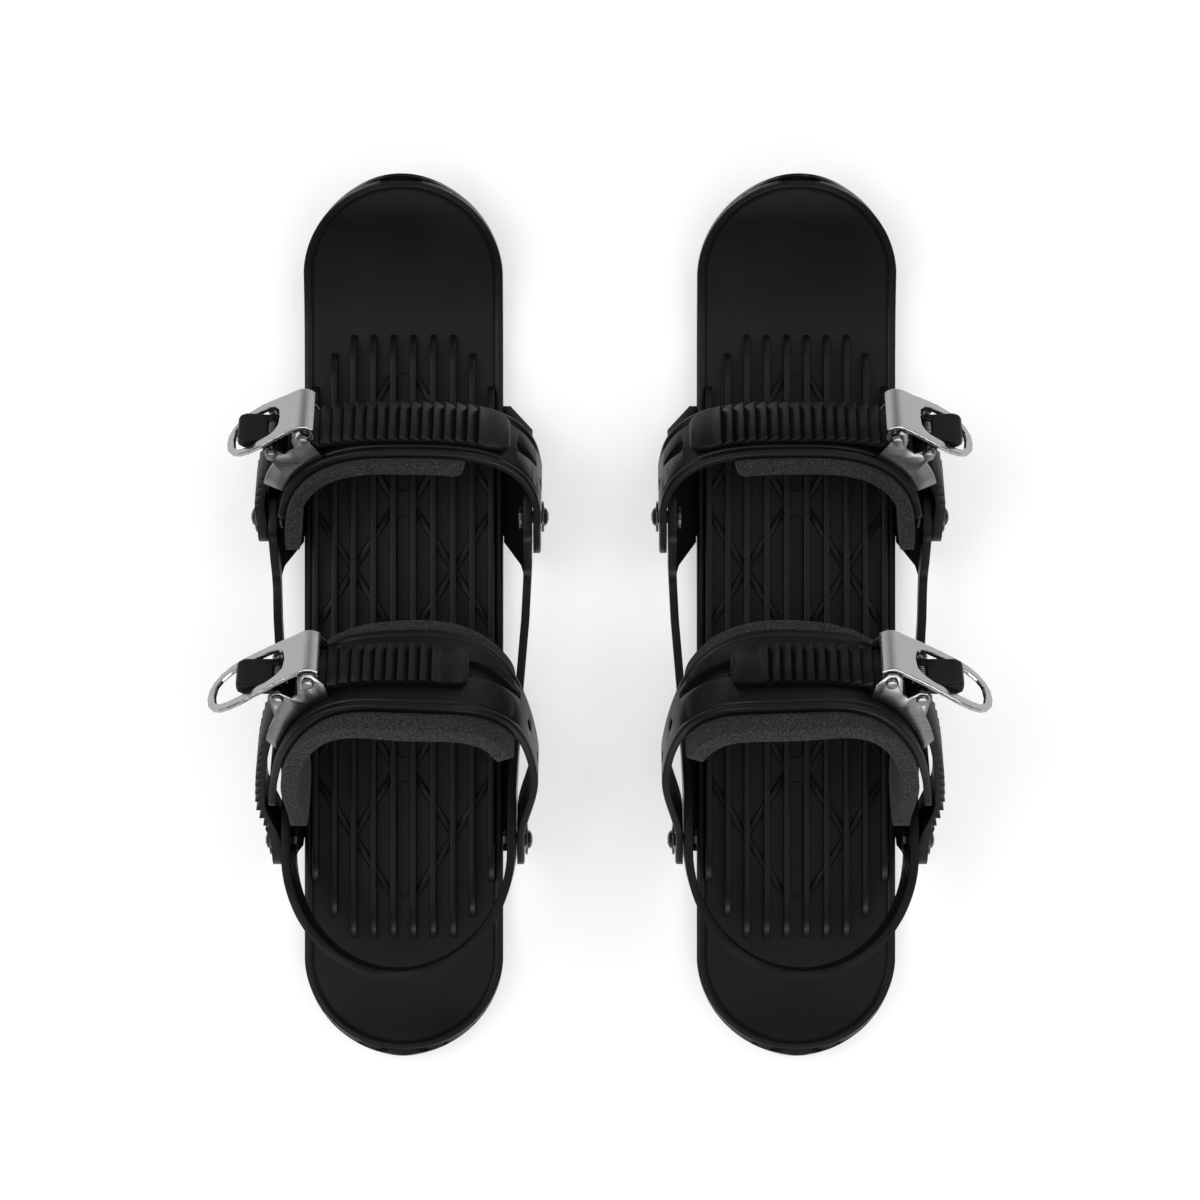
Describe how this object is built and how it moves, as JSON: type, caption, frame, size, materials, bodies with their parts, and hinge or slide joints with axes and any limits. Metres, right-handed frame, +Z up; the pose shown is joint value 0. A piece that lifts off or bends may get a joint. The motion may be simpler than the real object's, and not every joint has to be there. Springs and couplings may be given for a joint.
{
  "type": "pair of ski skates",
  "caption": "Pair of short ski skates with ribbed decks, heel frames and padded ratchet-buckle straps that clamp onto boots.",
  "frame": {"origin": "on the snow, midway between the two skates and midway along the boards", "axes": "+Z up, +Y toward the tips, +X toward the right foot's skate"},
  "size_m": [0.3234, 0.38, 0.1317],
  "materials": {
    "nylon": "satin moulded nylon",
    "sole_nylon": "smooth running base",
    "foam": "speckled closed-cell foam",
    "dark_metal": "black plated steel",
    "brushed_steel": "brushed",
    "polished_steel": "polished"
  },
  "bodies": {
    "boards_and_frames": {"left_sole_plate": "sole_nylon", "left_ribbed_deck": "nylon", "left_binding_frame": "nylon", "left_toe_inner_pivot_rivet": "dark_metal", "left_toe_outer_pivot_rivet": "dark_metal", "left_ankle_inner_pivot_rivet": "dark_metal", "left_ankle_outer_pivot_rivet": "dark_metal", "right_sole_plate": "sole_nylon", "right_ribbed_deck": "nylon", "right_binding_frame": "nylon", "right_toe_inner_pivot_rivet": "dark_metal", "right_toe_outer_pivot_rivet": "dark_metal", "right_ankle_inner_pivot_rivet": "dark_metal", "right_ankle_outer_pivot_rivet": "dark_metal"},
    "left_toe_strap": {"left_toe_strap_shell": "nylon", "left_toe_strap_pad": "foam", "left_toe_ladder_strap": "nylon", "left_toe_buckle_base": "brushed_steel", "left_toe_buckle_rivet": "brushed_steel", "left_toe_lever_pin": "brushed_steel", "left_toe_release_pin": "brushed_steel", "left_toe_release_spring": "brushed_steel"},
    "left_toe_lever": {"left_toe_buckle_lever": "polished_steel", "left_toe_drive_pawl": "dark_metal"},
    "left_toe_release": {"left_toe_release_tab": "nylon"},
    "left_ankle_strap": {"left_ankle_strap_shell": "nylon", "left_ankle_strap_pad": "foam", "left_ankle_ladder_strap": "nylon", "left_ankle_buckle_base": "brushed_steel", "left_ankle_buckle_rivet": "brushed_steel", "left_ankle_lever_pin": "brushed_steel", "left_ankle_release_pin": "brushed_steel", "left_ankle_release_spring": "brushed_steel"},
    "left_ankle_lever": {"left_ankle_buckle_lever": "polished_steel", "left_ankle_drive_pawl": "dark_metal"},
    "left_ankle_release": {"left_ankle_release_tab": "nylon"},
    "right_toe_strap": {"right_toe_strap_shell": "nylon", "right_toe_strap_pad": "foam", "right_toe_ladder_strap": "nylon", "right_toe_buckle_base": "brushed_steel", "right_toe_buckle_rivet": "brushed_steel", "right_toe_lever_pin": "brushed_steel", "right_toe_release_pin": "brushed_steel", "right_toe_release_spring": "brushed_steel"},
    "right_toe_lever": {"right_toe_buckle_lever": "polished_steel", "right_toe_drive_pawl": "dark_metal"},
    "right_toe_release": {"right_toe_release_tab": "nylon"},
    "right_ankle_strap": {"right_ankle_strap_shell": "nylon", "right_ankle_strap_pad": "foam", "right_ankle_ladder_strap": "nylon", "right_ankle_buckle_base": "brushed_steel", "right_ankle_buckle_rivet": "brushed_steel", "right_ankle_lever_pin": "brushed_steel", "right_ankle_release_pin": "brushed_steel", "right_ankle_release_spring": "brushed_steel"},
    "right_ankle_lever": {"right_ankle_buckle_lever": "polished_steel", "right_ankle_drive_pawl": "dark_metal"},
    "right_ankle_release": {"right_ankle_release_tab": "nylon"}
  },
  "joints": [
    {"name": "left_toe_strap_tilt", "type": "hinge", "parent": "boards_and_frames", "child": "left_toe_strap", "pos_m": [-0.085, 0.0429, 0.0343], "axis": [1, 0, 0], "range_deg": [-20, 45]},
    {"name": "left_toe_lever_swing", "type": "hinge", "parent": "left_toe_strap", "child": "left_toe_lever", "pos_m": [-0.12337, 0.08329, 0.07686], "axis": [0, 0.7254, -0.6884], "range_deg": [0, 55]},
    {"name": "left_toe_release_press", "type": "hinge", "parent": "left_toe_strap", "child": "left_toe_release", "pos_m": [-0.13683, 0.07758, 0.07085], "axis": [0, -0.7254, 0.6884], "range_deg": [0, 15], "stiffness_Nm_per_rad": 0.05, "springref_deg": -17.19},
    {"name": "left_ankle_strap_tilt", "type": "hinge", "parent": "boards_and_frames", "child": "left_ankle_strap", "pos_m": [-0.085, -0.0946, 0.0402], "axis": [1, 0, 0], "range_deg": [-10, 45]},
    {"name": "left_ankle_lever_swing", "type": "hinge", "parent": "left_ankle_strap", "child": "left_ankle_lever", "pos_m": [-0.11844, -0.01708, 0.11532], "axis": [0, 0.6959, -0.7181], "range_deg": [0, 55]},
    {"name": "left_ankle_release_press", "type": "hinge", "parent": "left_ankle_strap", "child": "left_ankle_release", "pos_m": [-0.13127, -0.02398, 0.10864], "axis": [0, -0.6959, 0.7181], "range_deg": [0, 15], "stiffness_Nm_per_rad": 0.05, "springref_deg": -17.19},
    {"name": "right_toe_strap_tilt", "type": "hinge", "parent": "boards_and_frames", "child": "right_toe_strap", "pos_m": [0.085, 0.0429, 0.0343], "axis": [1, 0, 0], "range_deg": [-20, 45]},
    {"name": "right_toe_lever_swing", "type": "hinge", "parent": "right_toe_strap", "child": "right_toe_lever", "pos_m": [0.12337, 0.08329, 0.07686], "axis": [0, -0.7254, 0.6884], "range_deg": [0, 55]},
    {"name": "right_toe_release_press", "type": "hinge", "parent": "right_toe_strap", "child": "right_toe_release", "pos_m": [0.13683, 0.07758, 0.07085], "axis": [0, 0.7254, -0.6884], "range_deg": [0, 15], "stiffness_Nm_per_rad": 0.05, "springref_deg": -17.19},
    {"name": "right_ankle_strap_tilt", "type": "hinge", "parent": "boards_and_frames", "child": "right_ankle_strap", "pos_m": [0.085, -0.0946, 0.0402], "axis": [1, 0, 0], "range_deg": [-10, 45]},
    {"name": "right_ankle_lever_swing", "type": "hinge", "parent": "right_ankle_strap", "child": "right_ankle_lever", "pos_m": [0.11844, -0.01708, 0.11532], "axis": [0, -0.6959, 0.7181], "range_deg": [0, 55]},
    {"name": "right_ankle_release_press", "type": "hinge", "parent": "right_ankle_strap", "child": "right_ankle_release", "pos_m": [0.13127, -0.02398, 0.10864], "axis": [0, 0.6959, -0.7181], "range_deg": [0, 15], "stiffness_Nm_per_rad": 0.05, "springref_deg": -17.19}
  ]
}
